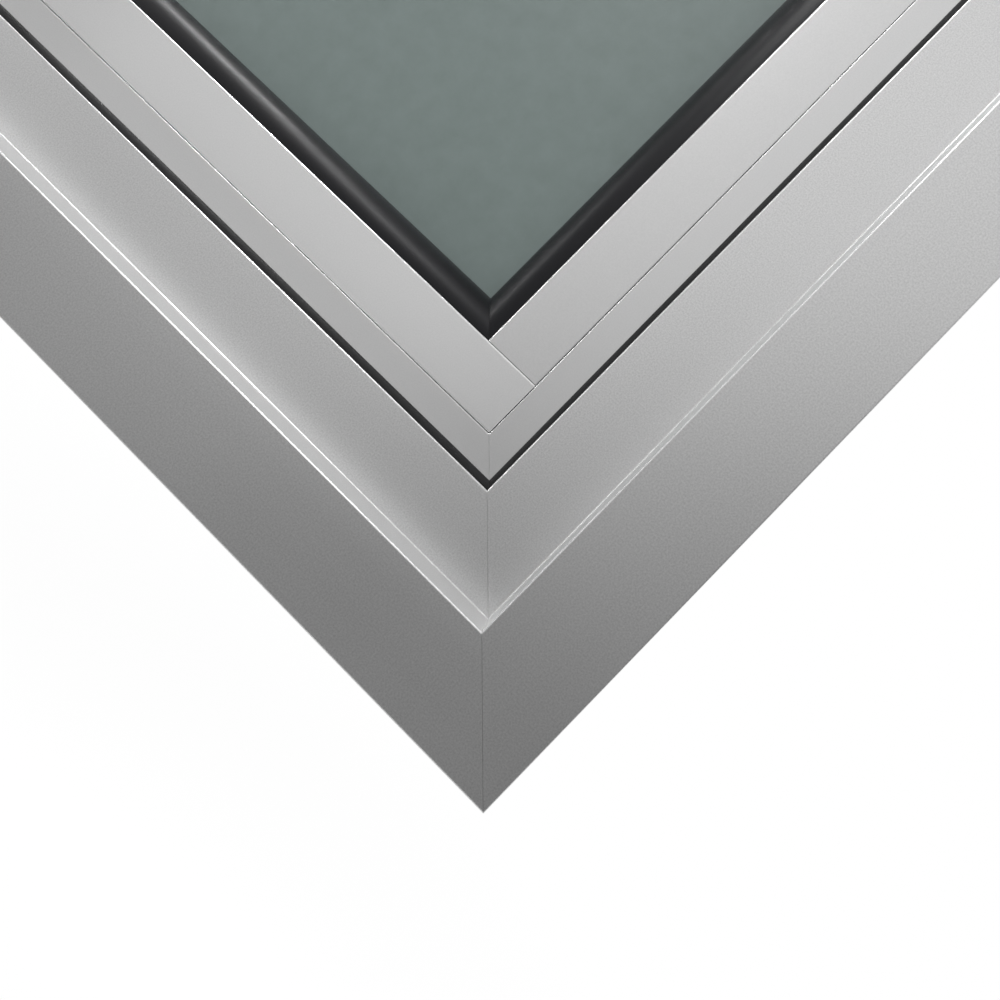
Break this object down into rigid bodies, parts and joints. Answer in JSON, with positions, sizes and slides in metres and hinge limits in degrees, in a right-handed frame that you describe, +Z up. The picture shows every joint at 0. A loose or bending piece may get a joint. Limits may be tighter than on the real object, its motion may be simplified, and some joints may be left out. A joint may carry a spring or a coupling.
{
  "type": "awning window",
  "caption": "Top-hung awning window in a recessed mitred aluminium frame, with a beaded obscure-glass sash, hook hinge, friction stays and a cam handle.",
  "frame": {"origin": "middle of the sill's underside, at half the frame's depth", "axes": "+X along the sill, to the right seen from the room; +Y from the room to outdoors; +Z up"},
  "size_m": [0.85, 0.102, 0.6],
  "materials": {
    "silver_aluminium": "satin silver anodised",
    "black_rubber": "matt black extruded rubber",
    "obscure_glass": "satin obscure, grey-green",
    "steel_hardware": "stainless, fine brushed",
    "handle_metal": "satin silver",
    "black_nylon": "moulded black nylon",
    "cleat_metal": "mill finish"
  },
  "bodies": {
    "frame": {"frame_head": "silver_aluminium", "frame_sill": "silver_aluminium", "frame_left_jamb": "silver_aluminium", "frame_right_jamb": "silver_aluminium", "frame_corner_cleats": "cleat_metal", "head_seal": "black_rubber", "sill_seal": "black_rubber", "left_seal": "black_rubber", "right_seal": "black_rubber", "hinge_channel": "silver_aluminium", "hinge_channel_screws": "steel_hardware", "left_stay_track": "steel_hardware", "right_stay_track": "steel_hardware", "stay_track_screws": "steel_hardware", "striker_plate": "steel_hardware", "striker_screws": "steel_hardware"},
    "sash": {"sash_top_rail": "silver_aluminium", "sash_bottom_rail": "silver_aluminium", "sash_left_stile": "silver_aluminium", "sash_right_stile": "silver_aluminium", "sash_corner_cleats": "cleat_metal", "hinge_hook": "silver_aluminium", "hinge_hook_screws": "steel_hardware", "top_bead": "silver_aluminium", "bottom_bead": "silver_aluminium", "left_bead": "silver_aluminium", "right_bead": "silver_aluminium", "top_room_gasket": "black_rubber", "bottom_room_gasket": "black_rubber", "left_room_gasket": "black_rubber", "right_room_gasket": "black_rubber", "top_outer_gasket": "black_rubber", "bottom_outer_gasket": "black_rubber", "left_outer_gasket": "black_rubber", "right_outer_gasket": "black_rubber", "inner_pane": "obscure_glass", "outer_pane": "obscure_glass", "spacer_bar": "cleat_metal", "edge_sealant": "black_rubber", "setting_blocks": "black_nylon", "left_stay_bracket": "steel_hardware", "right_stay_bracket": "steel_hardware", "stay_bracket_screws": "steel_hardware", "left_pivot_rivet": "steel_hardware", "right_pivot_rivet": "steel_hardware", "handle_base": "handle_metal", "handle_base_screws": "steel_hardware"},
    "left_arm": {"left_stay_arm": "steel_hardware", "left_stay_slider": "black_nylon"},
    "right_arm": {"right_stay_arm": "steel_hardware", "right_stay_slider": "black_nylon"},
    "handle": {"handle_lever": "handle_metal", "handle_spindle": "steel_hardware"}
  },
  "joints": [
    {"name": "sash_hinge", "type": "hinge", "parent": "frame", "child": "sash", "pos_m": [0, 0.031, 0.5638], "axis": [1, 0, 0], "range_deg": [0, 35]},
    {"name": "left_stay_pivot", "type": "hinge", "parent": "sash", "child": "left_arm", "pos_m": [-0.3875, 0.031, 0.4138], "axis": [1, 0, 0], "range_deg": [-70, 0]},
    {"name": "right_stay_pivot", "type": "hinge", "parent": "sash", "child": "right_arm", "pos_m": [0.3875, 0.031, 0.4138], "axis": [1, 0, 0], "range_deg": [-70, 0]},
    {"name": "handle_turn", "type": "hinge", "parent": "sash", "child": "handle", "pos_m": [0, -0.03, 0.071], "axis": [0, 1, 0], "range_deg": [0, 90]}
  ],
  "couplings": [
    {"joint": "left_stay_pivot", "follows": "sash_hinge", "ratio": -2},
    {"joint": "right_stay_pivot", "follows": "sash_hinge", "ratio": -2}
  ]
}
